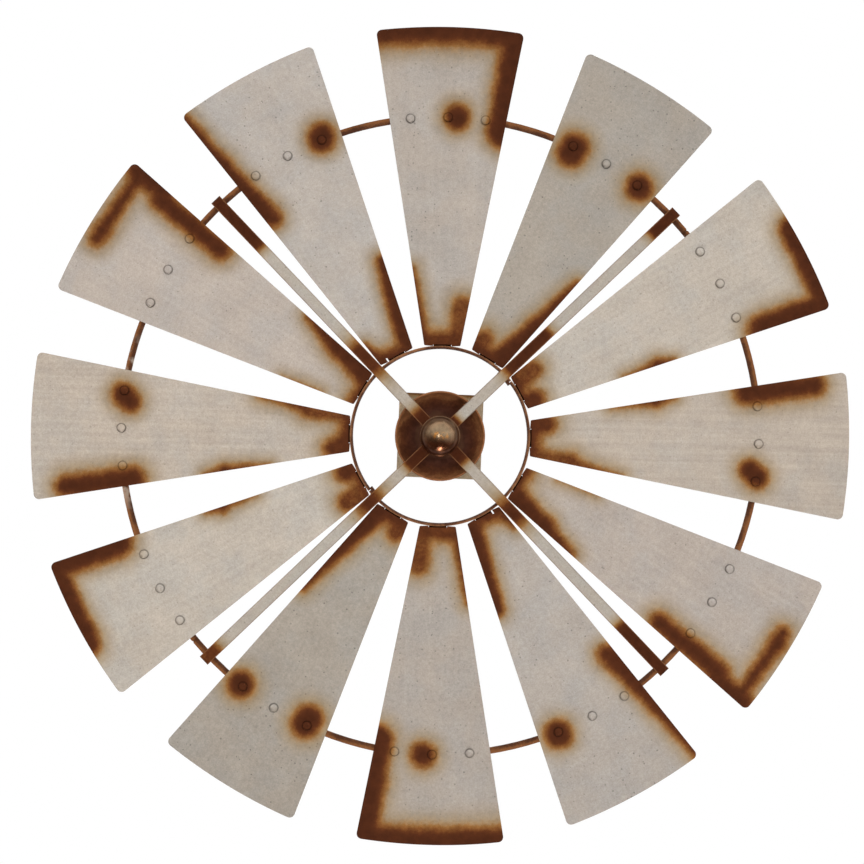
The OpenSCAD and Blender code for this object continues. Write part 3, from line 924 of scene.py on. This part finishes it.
def build_floor():
    """A plain pale floor under the wheel."""
    finish = Finish("pale_floor")
    mottle = finish.noise(finish.place(), 120.0, 2.0)
    tone = finish.mix(mottle, srgb(228, 226, 222), srgb(238, 236, 233))
    finish.surface(tone, 0.8)
    half_w, front, back = 1.3, -1.6, 0.4
    drop = 0.14
    height = cad_low.z - drop
    mesh = bpy.data.meshes.new("floor")
    corners = [(-half_w, front), (half_w, front), (half_w, back), (-half_w, back)]
    mesh.from_pydata([(x, y, height) for x, y in corners], [], [(0, 1, 2, 3)])
    mesh.materials.append(finish.material)
    floor = bpy.data.objects.new("floor", mesh)
    bpy.context.scene.collection.objects.link(floor)
    floor.visible_glossy = False


# strip lights as (direction, half width, half height, strength), with the sizes in degrees
STRIPS = [
    (Vector((-0.13, -0.985, 0.01)), 4.0, 10.0, 12.0),
    (Vector((0.04, -0.10, -0.99)), 6.0, 14.0, 30.0),
]


def strip_light(g, way, half_w, half_h):
    """1 where a ray leaves towards a tall strip light and 0 elsewhere."""
    ahead = way.normalized()
    beside = ahead.cross(Vector((0, 0, 1))).normalized()
    upright = beside.cross(ahead)
    ray = g.node("ShaderNodeTexCoord").outputs["Generated"]
    across = g.math("DIVIDE", g.vector("DOT_PRODUCT", ray, beside), math.sin(math.radians(half_w)))
    along = g.math("DIVIDE", g.vector("DOT_PRODUCT", ray, upright), math.sin(math.radians(half_h)))
    reach = g.math("ADD", g.math("POWER", g.math("ABSOLUTE", across), 2.0),
                   g.math("POWER", g.math("ABSOLUTE", along), 2.0))
    facing = g.fit(g.vector("DOT_PRODUCT", ray, ahead), 0.0, 0.1)
    return g.math("MULTIPLY", g.fit(reach, 1.0, 0.5), facing)


def build_world():
    """Soft studio light: white behind the wheel, brighter above and dimmer and warmer below in front."""
    world = bpy.data.worlds.new("studio")
    bpy.context.scene.world = world
    world.use_nodes = True
    g = Graph(world.node_tree)
    ray = g.node("ShaderNodeTexCoord").outputs["Generated"]
    upward = g.vector("DOT_PRODUCT", ray, (0.30, 0.0, 0.95))
    above = g.fit(upward, -0.62, 0.50)
    in_front = g.mix(above, (0.20, 0.12, 0.08, 1.0), (1.62, 1.62, 1.62, 1.0))
    behind = g.fit(g.node("ShaderNodeSeparateXYZ", (ray,)).outputs[1], -0.1, 0.3)
    light = g.mix(behind, in_front, (1.0, 1.0, 1.0, 1.0))
    path = g.node("ShaderNodeLightPath").outputs
    for way, half_w, half_h, strength in STRIPS:
        glare = g.math("MULTIPLY", strip_light(g, way, half_w, half_h), path["Is Glossy Ray"])
        light = g.mix(glare, light, (strength, strength, strength * 0.96, 1.0))
    colour = g.mix(path["Is Camera Ray"], light, (1.0, 1.0, 1.0, 1.0))
    g.feed(world.node_tree.nodes["Background"].inputs["Color"], colour)


def build_camera():
    """The camera stands in front, level with the hub, and is held at a slight tilt."""
    distance = 2.35
    frame_width = 0.9665
    # how far the hub is off the middle of the view, as shares of the view's width
    hub_right = 1 / 108
    hub_down = 1 / 216
    roll = math.radians(2.35)
    data = bpy.data.cameras.new("camera")
    data.sensor_width = 36.0
    data.lens = data.sensor_width * (distance - BLADE_BACK * MM) / frame_width
    data.shift_x = -hub_right
    data.shift_y = hub_down
    camera = bpy.data.objects.new("camera", data)
    camera.location = (0, -distance, 0)
    camera.rotation_mode = "QUATERNION"
    ahead = Vector((0, 1, 0)).to_track_quat("-Z", "Y")
    camera.rotation_quaternion = ahead @ Quaternion((0, 0, 1), roll)
    bpy.context.scene.collection.objects.link(camera)
    bpy.context.scene.camera = camera


build_floor()
build_world()
build_camera()
bpy.context.scene.view_settings.view_transform = "Standard"
